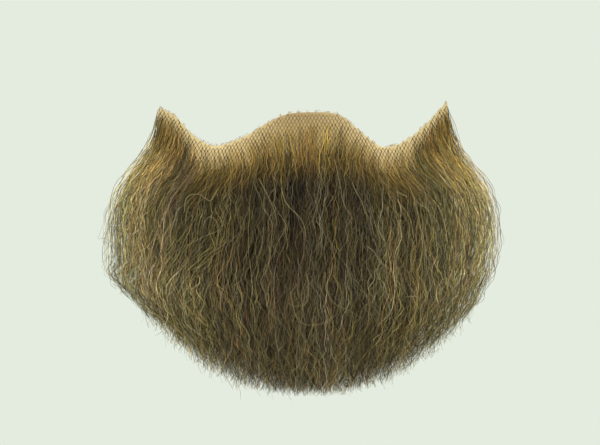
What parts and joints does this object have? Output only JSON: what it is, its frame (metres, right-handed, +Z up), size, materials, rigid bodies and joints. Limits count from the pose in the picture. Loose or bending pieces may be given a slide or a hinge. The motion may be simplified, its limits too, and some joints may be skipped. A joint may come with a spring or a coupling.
{
  "type": "false chin beard",
  "caption": "Full chin beard of wavy brown hair hand-knotted into a fine skin-toned lace foundation, shaped round the chin and under the jaw, with a point beside each mouth corner.",
  "frame": {"origin": "on the inner face of the lace, at the foremost point of the wearer's chin", "axes": "+X to the right of someone who faces the beard and towards the wearer's left, +Y into the wearer's chin, +Z up"},
  "size_m": [0.1008, 0.0382, 0.0763],
  "materials": {
    "lace": "fine pinkish net with dark knots, matt and half see-through",
    "dark_hair": "dark olive brown wavy hair with a soft shine",
    "golden_hair": "looser hair of a lighter golden brown"
  },
  "bodies": {
    "root": {"lace_foundation": "lace", "chin_hair": "dark_hair", "side_hair_left": "golden_hair", "side_hair_right": "golden_hair", "under_chin_hair": "dark_hair"}
  },
  "joints": []
}
